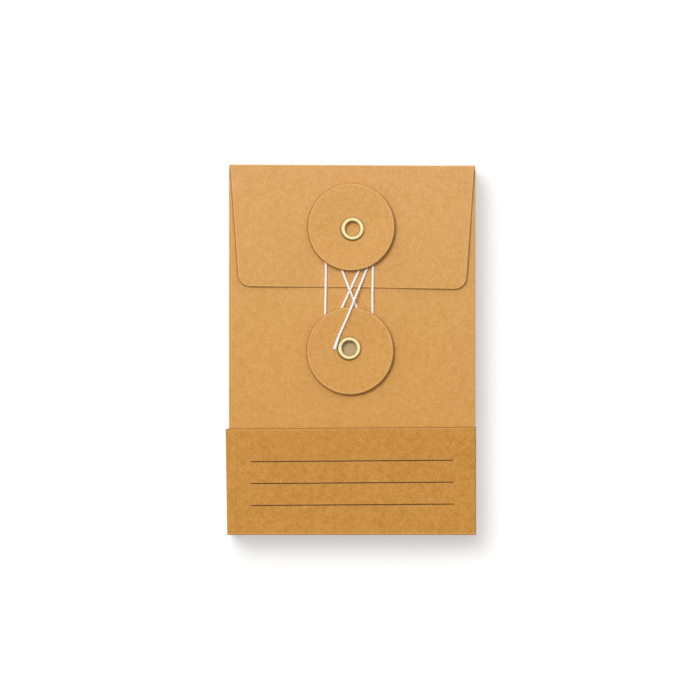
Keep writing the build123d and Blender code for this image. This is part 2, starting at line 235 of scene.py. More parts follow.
def plied_string(name, route, step, sides, swelling=0.0):
    """Tube round a line. The section is n touching circles of radius a, a distance b from the middle, in
    a circle of radius R: a = R / (1 + 1 / sin(pi / n)) and b = R - a. So the section's radius is
    r = b cos(w) + sqrt(a^2 - b^2 sin(w)^2), where w is the angle from the nearest lobe, softened towards
    a circle. The lobes turn once in a pitch. Loose fibres add a little to the diameter, more so sideways,
    and the tail swells where its yarns come apart."""
    places, centre = string_line(route, step)
    along = unit(np.gradient(centre, axis=0))
    side = unit(np.cross(UP, along))
    up = np.cross(along, side)
    angle = np.linspace(0, 2 * pi, sides, endpoint=False)
    half_lobe = pi / YARNS
    turned = 2 * pi * places[:, None] / PLY_PITCH
    lobe = (angle[None, :] - turned + half_lobe) % (2 * half_lobe) - half_lobe
    radius = STRING_DIAMETER / 2
    a = radius / (1 + 1 / sin(half_lobe))
    b = radius - a
    outline = b * np.cos(lobe) + np.sqrt(np.maximum(a**2 - (b * np.sin(lobe)) ** 2, 0))
    outline = outline + PLY_SOFTNESS * (radius - outline)
    near_end = np.clip(1 - (places[-1] - places) / SWOLLEN_LENGTH, 0, 1)
    outline = outline * (1 + swelling * near_end)[:, None]
    points = centre[:, None] + outline[..., None] * (
        PLY_WIDE * np.cos(angle)[None, :, None] * side[:, None]
        + PLY_HIGH * np.sin(angle)[None, :, None] * up[:, None]
    )
    piece = build(name, points.reshape(-1, 3), tube_faces(len(places), sides), sharp_degrees=180)
    # The lobe is also read by the finish, which paints shade in the valleys between yarns.
    attribute(piece, "lobe", np.cos(lobe * YARNS / 2))
    print(name, "length in mm", round(places[-1] / MM, 1))
    return piece, places[-1], centre


# %% [markdown]
# The front string is seen close up, so it has short steps and many sides, and its loose end swells a
# little.

# %% Front string
tie_string, tie_length, tie_line = plied_string(
    "tie_string_plied", TIE_ROUTE, step=0.16 * MM, sides=20, swelling=0.4
)

# %% [markdown]
# The tail's end is cut, not knotted, and its yarns have begun to open. A few dozen fine fibres spread from
# it, each one a thin tapered tube on a bent line.

# %% Frayed end of the tail
FIBRES = 60
FIBRE_RINGS = 7
FIBRE_SIDES = 4
FIBRE_RADIUS = 0.055 * MM
FIBRE_TAPER = 0.8
FIBRE_SHORTEST = 0.55 * MM
FIBRE_LONGEST = 1.0 * MM
FIBRE_SPREAD = 0.3
FIBRE_DROOP = 0.1
TUFT_RADIUS = 0.5 * MM
TUFT_FLATNESS = 0.7
TUFT_DEPTH = 0.4 * MM
HEADING_STEPS = 3


def frayed_end(name, end, heading, seed):
    """Fibres from a string's end: p(t) = start + length (t heading + t^2 spread), thinner as t grows."""
    draw = np.random.default_rng(seed)
    across = unit(np.cross(UP, heading))
    turn = draw.uniform(0, 2 * pi, FIBRES)
    out = np.sqrt(draw.uniform(0, 1, FIBRES)) * TUFT_RADIUS
    start = end - TUFT_DEPTH * heading + np.outer(out * np.cos(turn), across)
    start[:, 2] += TUFT_FLATNESS * out * np.sin(turn)
    length = draw.uniform(FIBRE_SHORTEST, FIBRE_LONGEST, FIBRES)
    spread = np.outer(draw.normal(0, FIBRE_SPREAD, FIBRES), across)
    spread[:, 2] = -draw.uniform(0, FIBRE_DROOP, FIBRES)
    t = np.linspace(0, 1, FIBRE_RINGS)[None, :, None]
    line = start[:, None] + length[:, None, None] * (t * heading + t**2 * spread[:, None])
    angle = np.linspace(0, 2 * pi, FIBRE_SIDES, endpoint=False)
    ring = np.cos(angle)[:, None] * across + np.sin(angle)[:, None] * UP
    points = line[:, :, None] + FIBRE_RADIUS * (1 - FIBRE_TAPER * t[..., None]) * ring
    first = np.arange(FIBRES)[:, None, None] * FIBRE_RINGS * FIBRE_SIDES
    tube, caps = tube_faces(FIBRE_RINGS, FIBRE_SIDES)
    faces = [(first + tube).reshape(-1, 4), (first + caps).reshape(-1, FIBRE_SIDES)]
    fray = build(name, points.reshape(-1, 3), faces, sharp_degrees=180)
    attribute(fray, "lobe", np.ones(FIBRES * FIBRE_RINGS * FIBRE_SIDES))
    return fray


tail_heading = unit(tie_line[-1] - tie_line[-1 - HEADING_STEPS])
tail_fray = frayed_end("tie_string_fray", tie_line[-1], tail_heading, seed=4)

# %% [markdown]
# The string rides on the flap. When the flap opens, the real string has been unwound first and hangs from
# the upper button. The loose end lay over the lower disc.

# %% The front string rides on the flap
UPPER_EYE = MM * np.array([0.1, 44.2])
settled = []


def settle(piece, body, slot, *solids):
    """Puts a new piece on a body and in a material slot, in place of the solids that are named."""
    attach(piece, body)
    if solids:
        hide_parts(*solids)
    settled.append((piece, slot))


settle(tie_string, "flap", "cotton_string", "tie_string")
settle(tail_fray, "flap", "cotton_string")
for piece in (tie_string, tail_fray):
    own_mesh(piece)

# %% [markdown]
# Each of the seven envelopes behind has a single loop of the same string round its two buttons. These
# strings show only when an envelope is drawn out, so they have longer steps and fewer sides.

# %% Strings of the spares
COUNT = 8
PITCH = 2.33 * MM
for number in range(2, COUNT + 1):
    lowered = SPARE_ROUTE - np.array([0.0, 0.0, (number - 1) * PITCH])
    node = f"envelope_{number}_string"
    piece, length, line = plied_string(node + "_plied", lowered, step=0.3 * MM, sides=12)
    settle(piece, f"envelope_{number}", "cotton_string", node)

# %% [markdown]
# The closing flap is one sheet with its crease. Its outline is a slightly tapered rectangle with two round
# corners, and the eyelet's hole is in it, so the sheet is a grid of rays: columns go round the outline, and
# rows run from the hole out to it. The paper of a used flap isn't quite flat, so its foot slopes a little
# and its free corners lift.

# %% Outline of the flap
PAPER = 0.14 * MM
HALF_WIDTH = 44.8 * MM
BASE = 16.81 * MM
CREASE_Y = 67.05 * MM
FLAP_FOOT = 22.68 * MM
FLAP_RISE = 0.76 * MM
FLAP_BOTTOM = BASE + FLAP_RISE
FLAP_TAPER = 3.2 * MM
FLAP_CORNER = 4.2 * MM
BORE = 2.85 * MM
FOOT_SLOPE = -0.013
TOP_SLOPE = -0.0057
CORNER_LIFT = 0.55 * MM
LIFT_ACROSS = (11 * MM, 34 * MM)
LIFT_DOWN = (0.05, 0.9)
TOP_POINTS = 121
SIDE_POINTS = 40
CORNER_POINTS = 13
FOOT_POINTS = 80
top_x = np.linspace(HALF_WIDTH, -HALF_WIDTH, TOP_POINTS)


def smooth_step(x, low, high):
    """0 below low, 1 above high, and 3t^2 - 2t^3 between them."""
    t = np.clip((x - low) / (high - low), 0, 1)
    return t * t * (3 - 2 * t)


def flap_outline():
    """Outline from the crease's right end: along the crease, down the left, along the foot and back up."""
    foot_half = HALF_WIDTH - FLAP_TAPER
    arc = np.radians(np.linspace(0, 90, CORNER_POINTS))
    corner = np.array([-foot_half + FLAP_CORNER, FLAP_FOOT + FLAP_CORNER])
    left_arc = corner - FLAP_CORNER * np.column_stack([np.cos(arc), np.sin(arc)])
    left_arc[:, 0] -= (left_arc[:, 1] - FLAP_FOOT) * FLAP_TAPER / (CREASE_Y - FLAP_FOOT)
    share = np.linspace(0, 1, SIDE_POINTS + 2)[1:-1, None]
    left = np.array([-HALF_WIDTH, CREASE_Y]) * (1 - share) + left_arc[0] * share
    foot_x = np.linspace(left_arc[-1, 0], -left_arc[-1, 0], FOOT_POINTS + 2)[1:-1]
    foot = np.column_stack([foot_x, np.full(len(foot_x), FLAP_FOOT)])
    mirror = np.array([-1, 1])
    top = np.column_stack([top_x, np.full(len(top_x), CREASE_Y)])
    return np.concatenate([top, left, left_arc, foot, left_arc[::-1] * mirror, left[::-1] * mirror])


def flap_shape(x, y, z):
    """Points with the foot and the crease sloped by a share of x, and with the free corners lifted."""
    down = np.clip((CREASE_Y - y) / (CREASE_Y - FLAP_FOOT), 0, 1)
    slope = TOP_SLOPE + (FOOT_SLOPE - TOP_SLOPE) * down
    lift = CORNER_LIFT * smooth_step(np.abs(x), *LIFT_ACROSS) * smooth_step(down, *LIFT_DOWN)
    return np.stack([x, y + slope * x, z + lift], axis=-1)


# %% [markdown]
# Rows are closest at the outer edge, where the finish changes within a millimetre. The first half of them
# goes over the sheet from the hole to the edge, and the second half goes back under it.

# %% Flap sheet
outline = flap_outline()
ray = np.array([0, 0.03, 0.07, 0.12, 0.2, 0.3, 0.4, 0.5, 0.6, 0.7, 0.78, 0.85, 0.9, 0.94])
margin = MM * np.array([0.9, 0.6, 0.4, 0.3, 0.2, 0.1, 0.0])
outward = unit(outline - UPPER_EYE)
hole = UPPER_EYE + BORE * outward
inner_rows = hole[None] + ray[:, None, None] * (outline - hole)[None]
outer_rows = outline[None] - margin[:, None, None] * outward[None]
flat = np.concatenate([inner_rows, outer_rows, outer_rows[::-1], inner_rows[::-1]])
height = np.repeat([FLAP_BOTTOM + PAPER, FLAP_BOTTOM], len(flat) // 2)
sheet = flap_shape(flat[..., 0], flat[..., 1], height[:, None])
print("flap grid", sheet.shape)

# %% [markdown]
# The crease is where the same sheet turns over from the back of the envelope to its front: half a ring of
# paper, as long as the pack is wide. It and the flap are one piece. A number on each point says how near it
# is to a cut edge, for the finish to read.

# %% Crease of the flap
CREASE_RADIUS = 0.45 * MM
CREASE_ROWS = 19
CREASE_MARGIN = 0.2 * MM
EDGE_MARK_WIDTH = 1.15 * MM
crease_angle = np.radians(np.linspace(-90, 90, CREASE_ROWS))


def crease_ring(radius):
    """Half ring about the hinge's line: a row for each angle, a column for each point of the crease."""
    y = CREASE_Y + radius * np.cos(crease_angle)
    z = BASE + CREASE_RADIUS + radius * np.sin(crease_angle)
    front_share = np.clip(1 + np.sin(crease_angle), 0, 1)
    slope = TOP_SLOPE * np.outer(front_share, top_x)
    return np.stack(np.broadcast_arrays(top_x, y[:, None] + slope, z[:, None]), axis=-1)


ring = np.concatenate([crease_ring(CREASE_RADIUS), crease_ring(CREASE_RADIUS - PAPER)[::-1]])
ring_rows, ring_columns = ring.shape[:2]
ends = np.arange(ring_rows) * ring_columns
ring_caps = np.array([ends, (ends + ring_columns - 1)[::-1]])
sheet_faces = grid_faces(*sheet.shape[:2], True, True)[:, ::-1]
ring_faces = [grid_faces(ring_rows, ring_columns, True, False), ring_caps]
sheet_points = sheet.reshape(-1, 3)
flap_sheet = build(
    "closing_flap_sheet",
    np.concatenate([sheet_points, ring.reshape(-1, 3)]),
    [sheet_faces] + [block + len(sheet_points) for block in ring_faces],
)
# The flap's edge share sets its pale line, partly painted highlight, and its dark line, partly painted
# shade.
cut_edge = np.concatenate([np.zeros(len(ray)), 1 - margin / EDGE_MARK_WIDTH])
cut_edge = np.concatenate([cut_edge, cut_edge[::-1]])
column_cut = (outline[:, 1] < CREASE_Y - CREASE_MARGIN).astype(float)
edge_values = np.concatenate([np.outer(cut_edge, column_cut).ravel(), np.zeros(ring_rows * ring_columns)])
attribute(flap_sheet, "edge", edge_values)
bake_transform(flap_sheet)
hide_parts("closing_flap", "flap_crease")

# %% [markdown]
# Each button's disc is punched from board. Its rim is a little rounded where the die came down, and its
# hole isn't quite in the middle, so a ray of the grid runs from the hole's circle to the rim's circle. The
# string under it lifts its rim, most at the lower right, where the photograph shows its widest shadow. A
# shallow groove runs round the eyelet's flange, deepest below it, and the same groove is coloured dark,
# darkest below the flange: painted shade.

# %% Board disc
LOWER_EYE = MM * np.array([-1.1, 0.6])
DISC_RADIUS = 16.0 * MM
DISC_BOARD = 0.28 * MM
DISC_RISE = 0.85 * MM
UPPER_SEAT = 17.71 * MM
LOWER_SEAT = 17.40 * MM
RIM_ROUND = 0.09 * MM
RIM_DRAFT = 0.02 * MM
RIM_BAND = 1.0 * MM
RIM_MARK_WIDTH = 1.3 * MM
RIM_MARK_WHERE_LIT = 0.8
PRESS_REACH = 4.4 * MM
PRESS_WIDTH = 0.32 * MM
PRESS_DEPTH = 0.07 * MM
GROOVE_AND_SHADE_EVEN = 0.5
GROOVE_AND_SHADE_BELOW = 0.35
SHIFT_START = 5.0 * MM
FLANGE_FOOT = 3.5 * MM
disc_angle = np.linspace(0, 2 * pi, 240, endpoint=False)


def board_disc(name, eye, shift, seat, dish, tilt, tilt_side):
    """Closed profile carried round: p = eye + r u + s shift, with u the ray's direction and s the share of
    the way from the flange to the rim. The rim is lifted by dish + tilt (1 + cos a) / 2, where a is the
    angle from the tilt's side. The groove is a ridge upside down, 1 - |r - reach| / width, and the same
    ridge sets the painted shade in it. The shift, the dish and the tilt are in millimetres, and the tilt's
    side is in degrees."""
    bend = np.radians(np.linspace(0, 90, 7))
    margin = MM * np.array([0.9, 0.7, 0.5, 0.4, 0.3, 0.2])
    groove = PRESS_REACH + PRESS_WIDTH * np.linspace(-1, 1, 9)
    plain = np.linspace(SHIFT_START, DISC_RADIUS - RIM_BAND, 20)
    flat_reach = np.concatenate([[BORE, FLANGE_FOOT], groove, plain, DISC_RADIUS - margin])
    flat_reach = np.append(flat_reach, DISC_RADIUS - RIM_ROUND)
    round_reach = DISC_RADIUS - RIM_ROUND + RIM_ROUND * np.sin(bend[1:])
    round_height = DISC_BOARD - RIM_ROUND + RIM_ROUND * np.cos(bend[1:])
    reach = np.concatenate([flat_reach, round_reach, [DISC_RADIUS - RIM_DRAFT], flat_reach[::-1]])
    height = np.concatenate(
        [np.full(len(flat_reach), DISC_BOARD), round_height, [0.0], np.zeros(len(flat_reach))]
    )
    share = np.clip((reach - SHIFT_START) / (DISC_RADIUS - SHIFT_START), 0, 1)
    u = np.column_stack([np.cos(disc_angle), np.sin(disc_angle)])[None]
    flat = eye + reach[:, None, None] * u + share[:, None, None] * MM * np.array(shift)
    rim_lift = MM * (dish + tilt * (1 + np.cos(disc_angle - radians(tilt_side))) / 2)
    lift = np.outer(smooth_step(share, 0.0, 1.0), rim_lift)
    upper_face = height >= DISC_BOARD
    groove_depth = np.clip(1 - np.abs(reach - PRESS_REACH) / PRESS_WIDTH, 0, 1) * upper_face
    # Painted shade: the groove's depth, deepest below the flange, also darkens the board's colour there.
    groove_and_shade = np.outer(groove_depth, GROOVE_AND_SHADE_EVEN - GROOVE_AND_SHADE_BELOW * np.sin(disc_angle))
    z = (seat + DISC_RISE + height)[:, None] + lift - PRESS_DEPTH * groove_and_shade
    points = np.concatenate([flat, z[..., None]], axis=2)
    disc = build(name, points.reshape(-1, 3), [grid_faces(*points.shape[:2], True, True)[:, ::-1]])
    # The rim's share sets its pale line, partly painted highlight, and its dark line, partly painted shade.
    rim = np.clip(1 - (DISC_RADIUS - reach) / RIM_MARK_WIDTH, 0, 1)
    # Painted light: those lines are a fifth fainter on the disc's upper side, where the light falls.
    mark_by_lit_side = 1 - (1 - RIM_MARK_WHERE_LIT) * np.clip(np.sin(disc_angle), 0, 1)
    attribute(disc, "edge", np.outer(rim, mark_by_lit_side))
    attribute(disc, "groove_and_shade", groove_and_shade)
    return disc


# %% [markdown]
# Both discs come from that one helper. The upper one's hole is low and to the right in it, and the lower
# one's is high and to the left. Each of them rides on a body of its own, which turns on the eyelet.

# %% Discs
upper_disc = board_disc(
    "upper_disc_board", UPPER_EYE, shift=(-0.53, 0.66), seat=UPPER_SEAT, dish=0.3, tilt=0.7, tilt_side=-25
)
lower_disc = board_disc(
    "lower_disc_board", LOWER_EYE, shift=(0.3, -0.95), seat=LOWER_SEAT, dish=0.25, tilt=0.45, tilt_side=-40
)
settle(upper_disc, "upper_button", "kraft_board", "upper_disc")
settle(lower_disc, "lower_button", "kraft_board", "lower_disc")

# %% [markdown]
# An eyelet is drawn from thin brass: a rounded flange on the disc, a barrel through it, and an end that is
# rolled out behind the paper. All of that is one closed profile turned about the eyelet's axis.

# %% Eyelets
BARREL = 2.8 * MM
EYE_BORE = 2.6 * MM
FLANGE = 4.25 * MM
FLANGE_RISE = 1.15 * MM
FLANGE_HEIGHT = 0.56 * MM
FLANGE_LIP = 0.12 * MM
ROLL = 3.6 * MM
ROLL_HEIGHT = 0.13 * MM
ROUNDNESS = 2.1
LIP_POINTS = 4
PANEL_BOTTOM = BASE + 0.45 * MM
eye_angle = np.linspace(0, 2 * pi, 128, endpoint=False)


def brass_eyelet(name, eye, seat, paper_bottom):
    """Turned profile. The flange is the upper half of a super-ellipse, |x|^n + |y|^n = 1 with n its
    roundness, and the roll behind is the lower half of one. A lip is rolled under the flange."""
    bend = np.radians(np.linspace(180, 0, 25))
    power = 2 / ROUNDNESS
    dome_x = np.sign(np.cos(bend)) * np.abs(np.cos(bend)) ** power
    dome_y = np.abs(np.sin(bend)) ** power
    under_flange = seat + FLANGE_RISE
    wall = np.linspace(paper_bottom, under_flange, 8)[1:-1]
    reach = np.concatenate(
        [
            np.full(len(wall), EYE_BORE),
            (EYE_BORE + FLANGE) / 2 + dome_x * (FLANGE - EYE_BORE) / 2,
            np.linspace(FLANGE - FLANGE_LIP, BARREL, LIP_POINTS),
            np.full(len(wall), BARREL),
            np.linspace(BARREL, ROLL, LIP_POINTS)[:-1],
            (EYE_BORE + ROLL) / 2 - dome_x * (ROLL - EYE_BORE) / 2,
        ]
    )
    height = np.concatenate(
        [
            wall,
            under_flange + FLANGE_LIP + dome_y * (FLANGE_HEIGHT - FLANGE_LIP),
            np.full(LIP_POINTS, under_flange),
            wall[::-1],
            np.full(LIP_POINTS - 1, paper_bottom),
            paper_bottom - dome_y * ROLL_HEIGHT,
        ]
    )
    x = eye[0] + reach[:, None] * np.cos(eye_angle)
    y = eye[1] + reach[:, None] * np.sin(eye_angle)
    points = np.stack(np.broadcast_arrays(x, y, height[:, None]), axis=-1)
    faces = grid_faces(*points.shape[:2], True, True)[:, ::-1]
    return build(name, points.reshape(-1, 3), [faces], sharp_degrees=60)


upper_eyelet = brass_eyelet("upper_eyelet_brass", UPPER_EYE, UPPER_SEAT, FLAP_BOTTOM)
lower_eyelet = brass_eyelet("lower_eyelet_brass", LOWER_EYE, LOWER_SEAT, PANEL_BOTTOM)
settle(upper_eyelet, "flap", "brass", "upper_eyelet")
settle(lower_eyelet, "envelope_1", "brass", "lower_eyelet")

# %% [markdown]
# The band is one strip of heavier paper folded round the pack and lapped behind. Its section is a rounded
# rectangle whose two ends overlap, with the paper's thickness between an outer and an inner line.

# %% Section of the band
BAND_PAPER = 0.2 * MM
BAND_LOW = -67.5 * MM
BAND_TOP = -28.4 * MM
BAND_LEFT = -45.55 * MM
BAND_RIGHT = 45.14 * MM
BAND_FRONT = 17.74 * MM
BAND_FOLD = 0.5 * MM
BAND_LAP = 12.0 * MM


def folded_strip(corners, radius, run_points, arc_points):
    """Line through corners with a round fold at each, as points and as the unit vectors square to it."""
    corners = np.array(corners)
    runs = unit(np.diff(corners, axis=0))
    before = corners[1:-1] - radius * runs[:-1]
    after = corners[1:-1] + radius * runs[1:]
    middles = before + radius * runs[1:]
    t = np.linspace(0, pi / 2, arc_points)[:, None]
    arcs = [
        middles[k] + radius * (-runs[k + 1] * np.cos(t) + runs[k] * np.sin(t)) for k in range(len(middles))
    ]
    starts = [corners[0], *after]
    stops = [*before, corners[-1]]
    share = np.linspace(0, 1, run_points)[1:-1, None]
    pieces = [corners[:1]]
    for k, (start, stop) in enumerate(zip(starts, stops)):
        pieces.append(start * (1 - share) + stop * share)
        pieces.append(arcs[k] if k < len(arcs) else corners[-1:])
    line = np.concatenate(pieces)
    heading = unit(np.gradient(line, axis=0))
    return line, np.column_stack([heading[:, 1], -heading[:, 0]])


band_line, band_out = folded_strip(
    [
        (-BAND_LAP, 1.5 * BAND_PAPER),
        (BAND_RIGHT, 1.5 * BAND_PAPER),
        (BAND_RIGHT, BAND_FRONT),
        (BAND_LEFT, BAND_FRONT),
        (BAND_LEFT, 0.5 * BAND_PAPER),
        (BAND_LAP, 0.5 * BAND_PAPER),
    ],
    radius=BAND_FOLD,
    run_points=40,
    arc_points=9,
)
outside = band_line + band_out * BAND_PAPER / 2
inside = band_line - band_out * BAND_PAPER / 2
section = np.concatenate([outside, inside[::-1]])
print("points round the band", len(section))

# %% [markdown]
# That section is carried up the pack. In the photograph the band sits a little askew: its top edge climbs
# to the right, and its left fold stands out more at the top than at the foot, with its corner lower. Its
# front is arched a little, most at the open top edge.

# %% Band
BAND_TOP_SLOPE = 0.0072
BAND_FLARE = 0.62 * MM
BAND_CORNER_DROP = 0.3 * MM
BAND_CROWN = 0.15 * MM
BAND_GAPE = 0.5 * MM
BAND_MARK_WIDTH = 0.9 * MM
FLARE_FROM, FLARE_TO = 30 * MM, 46 * MM
DROP_FROM, DROP_TO = 44.6 * MM, 45.5 * MM
ARCH_FROM, ARCH_TO = 17 * MM, 17.7 * MM
ARCH_HALF = 44 * MM
GAPE_FROM = 0.45
band_height = BAND_TOP - BAND_LOW
band_margin = MM * np.array([0.0, 0.1, 0.2, 0.3, 0.5, 0.7, 0.9]) / band_height
band_rise = np.concatenate([band_margin, np.linspace(0.05, 0.95, 24), 1 - band_margin[::-1]])
flare = BAND_FLARE * smooth_step(-section[:, 0], FLARE_FROM, FLARE_TO) * section[:, 1] / BAND_FRONT
drop = BAND_CORNER_DROP * smooth_step(-section[:, 0], DROP_FROM, DROP_TO)
arch = smooth_step(section[:, 1], ARCH_FROM, ARCH_TO) * np.clip(1 - (section[:, 0] / ARCH_HALF) ** 4, 0, 1)
crown = BAND_CROWN * np.sin(pi * band_rise) + BAND_GAPE * smooth_step(band_rise, GAPE_FROM, 1.0)
top_edge = BAND_TOP + BAND_TOP_SLOPE * section[:, 0] - drop
band_x = section[None, :, 0] - band_rise[:, None] * flare[None]
band_y = BAND_LOW + band_rise[:, None] * (top_edge - BAND_LOW)[None]
band_z = section[None, :, 1] + crown[:, None] * arch[None]
band_points = np.stack([band_x, band_y, band_z], axis=-1)
rows, columns = band_points.shape[:2]
strip = np.arange(columns // 2 - 1)
rim = np.stack([strip, strip + 1, columns - 2 - strip, columns - 1 - strip], axis=1)
band = build(
    "belly_band_strip",
    band_points.reshape(-1, 3),
    [grid_faces(rows, columns, False, True)[:, ::-1], rim, (rim + (rows - 1) * columns)[:, ::-1]],
)
near_edge = np.minimum(band_rise, 1 - band_rise) * band_height
# The band's edge share sets its pale line, partly painted highlight, and its dark line, partly painted
# shade.
attribute(band, "edge", np.repeat(np.clip(1 - near_edge / BAND_MARK_WIDTH, 0, 1), columns))
settle(band, "band", "band_paper", "belly_band")

# %% [markdown]
# A finish could be painted on a picture, but here each one is a tree of nodes, so that it stays sharp at
# any size. These helpers keep such trees short. Most of them give back the socket with their result.

# %% Node helpers
def start_material(name):
    """New node material: its tree, its shader and its object coordinates."""
    material = bpy.data.materials.new(name)
    material.use_nodes = True
    tree = material.node_tree
    coordinates = tree.nodes.new("ShaderNodeTexCoord")
    return material, tree, tree.nodes["Principled BSDF"], coordinates.outputs["Object"]


def connect(tree, node, links):
    """Gives each input that is named a socket or a number."""
    for key, value in links.items():
        if isinstance(value, bpy.types.NodeSocket):
            tree.links.new(value, node.inputs[key])
        else:
            node.inputs[key].default_value = value


def add(tree, kind, links=None, **values):
    """New node with its links made and its settings set."""
    made = tree.nodes.new(kind)
    for key, value in values.items():
        setattr(made, key, value)
    connect(tree, made, links or {})
    return made


def math(tree, operation, a, b=0.0, c=0.0):
    """Socket with the result of one sum."""
    return add(tree, "ShaderNodeMath", {0: a, 1: b, 2: c}, operation=operation).outputs[0]


def scaled(tree, a, times, plus):
    """Socket with a value times one number or socket, plus another."""
    return math(tree, "MULTIPLY_ADD", a, times, plus)


def bump(tree, height, strength, distance):
    """Socket with a surface's direction as a height tilts it, at most so deep."""
    links = {"Height": height, "Strength": strength, "Distance": distance}
    return add(tree, "ShaderNodeBump", links).outputs[0]


def noise(tree, place, scale, detail=3.0, roughness=0.55):
    """Socket with a noise of so many features to the metre, about 0.5 on average."""
    links = {"Vector": place, "Scale": scale, "Detail": detail, "Roughness": roughness}
    return add(tree, "ShaderNodeTexNoise", links).outputs[0]


def ramp(tree, factor, stops):
    """Socket with a colour from a ramp. Each stop is a place and a linear colour."""
    made = add(tree, "ShaderNodeValToRGB", {0: factor})
    elements = made.color_ramp.elements
    while len(elements) < len(stops):
        elements.new(0.5)
    for element, (place, colour) in zip(elements, stops):
        element.position = place
        element.color = (*colour, 1.0)
    return made.outputs[0]


def linear(red, green, blue):
    """Linear colour of an sRGB colour on the scale of 255."""
    share = np.array([red, green, blue]) / 255
    return np.where(share <= 0.04045, share / 12.92, ((share + 0.055) / 1.055) ** 2.4)


def mix_colour(tree, share, first, second):
    """Socket with the first colour where the share is 0 and the second where it is 1. A mix node has
    sockets for each kind of value: its colours are on inputs 6 and 7 and on output 2."""
    return add(tree, "ShaderNodeMix", {0: share, 6: first, 7: second}, data_type="RGBA").outputs[2]


# %% [markdown]
# Kraft paper isn't one colour. Its fibres lie in all directions, lighter and darker, the sheet is cloudy at
# the size of a finger, and a few specks of bark are left in it. Each of these is a noise at its own size,
# on the object's own coordinates. Their sum, the paper's level, is about a half on average and moves the
# colour along a ramp.

# %% Grain of kraft paper
CLOUD_SCALE, CLOUD_SHARE = 70.0, 0.25
PATCH_SCALE, PATCH_SHARE = 480.0, 0.8
MOTTLE_SHARE = 1.6
LEVEL_BASE = 0.5 - (CLOUD_SHARE + PATCH_SHARE + MOTTLE_SHARE) / 2
FIBRE_SCALE, FIBRE_SHARE = 420.0, 0.1
FIBRE_TURNS = (8.0, 65.0, 127.0)
FIBRE_STRETCH = 7.0
FIBRE_FINENESS = 6.0
SPECK_SCALE = 520.0
SPECK_REACH = 0.1
SPECK_SHADE = -0.6


def fibre_layer(tree, place, turn):
    """Socket with ridges of a noise stretched one way: 1 - f |noise - 1/2|, so 1 on a fibre's line."""
    turned = add(
        tree,
        "ShaderNodeMapping",
        {
            "Vector": place,
            "Rotation": (0.0, 0.0, radians(turn)),
            "Scale": (1.0, FIBRE_STRETCH, FIBRE_STRETCH),
        },
    ).outputs[0]
    level = noise(tree, turned, FIBRE_SCALE, 2.0)
    away = math(tree, "ABSOLUTE", scaled(tree, level, FIBRE_FINENESS, -FIBRE_FINENESS / 2))
    return math(tree, "SUBTRACT", 1.0, away)


def paper_grain(tree, place, grain, specks):
    """Sockets with the paper's level and, for its bump, its cloud, its mottle and its crossed fibres."""
    cloud = noise(tree, place, CLOUD_SCALE, 3.0)
    patch = noise(tree, place, PATCH_SCALE, 2.0)
    mottle = noise(tree, place, grain, 2.0, 0.6)
    fibres = [fibre_layer(tree, place, turn) for turn in FIBRE_TURNS]
    crossed = math(tree, "MAXIMUM", math(tree, "MAXIMUM", fibres[0], fibres[1]), fibres[2])
    crossed = math(tree, "MAXIMUM", crossed, 0.0)
    level = scaled(tree, mottle, MOTTLE_SHARE, LEVEL_BASE)
    level = scaled(tree, cloud, CLOUD_SHARE, level)
    level = scaled(tree, patch, PATCH_SHARE, level)
    level = scaled(tree, crossed, FIBRE_SHARE, math(tree, "SUBTRACT", level, FIBRE_SHARE / 2))
    cells = add(tree, "ShaderNodeTexVoronoi", {"Vector": place, "Scale": SPECK_SCALE})
    near = math(tree, "LESS_THAN", cells.outputs["Distance"], SPECK_REACH)
    rare = add(tree, "ShaderNodeSeparateColor", {0: cells.outputs["Color"]}).outputs[0]
    fleck = math(tree, "MULTIPLY", near, math(tree, "LESS_THAN", rare, specks))
    return scaled(tree, fleck, SPECK_SHADE, level), cloud, mottle, crossed


# %% [markdown]
# A cut edge has a pale line a little way in, partly rubbed paper and partly painted highlight, and a dark
# line along the cut itself, partly a darker cut and partly painted shade. The groove round an eyelet is
# darker still, as painted shade. Those places are stored on the points of the pieces, so the colour only
# has to read them. The inside of a pocket is greyer than its outside, as painted shade.

# %% Edges and inside of kraft paper
# Painted light and shade at cut edges: the pale line is partly rubbing and partly painted highlight, and
# the dark line partly a darker cut and partly painted shade.
EDGE_RUBBED_AND_HIGHLIGHT = [(0.0, (0, 0, 0)), (0.35, (0.05, 0.05, 0.05)), (0.55, (0.5, 0.5, 0.5)), (0.72, (0, 0, 0))]
EDGE_CUT_AND_SHADE = [(0.0, (0, 0, 0)), (0.62, (0, 0, 0)), (0.84, (0.7, 0.7, 0.7)), (1.0, (0.85, 0.85, 0.85))]
PALE_RUBBED_AND_HIGHLIGHT_TONE = (*linear(240, 196, 134), 1.0)
DARK_CUT_AND_SHADE_TONE = (*linear(140, 87, 23), 1.0)
# Painted shade in the groove round an eyelet's flange.
GROOVE_SHADE_TONE = (*linear(66, 39, 7), 1.0)
# Painted shade inside the pocket.
POCKET_SHADE_TONE = (*linear(194, 168, 130), 1.0)
MOUTH_Y = 61.5 * MM
FACING_UP = 0.5


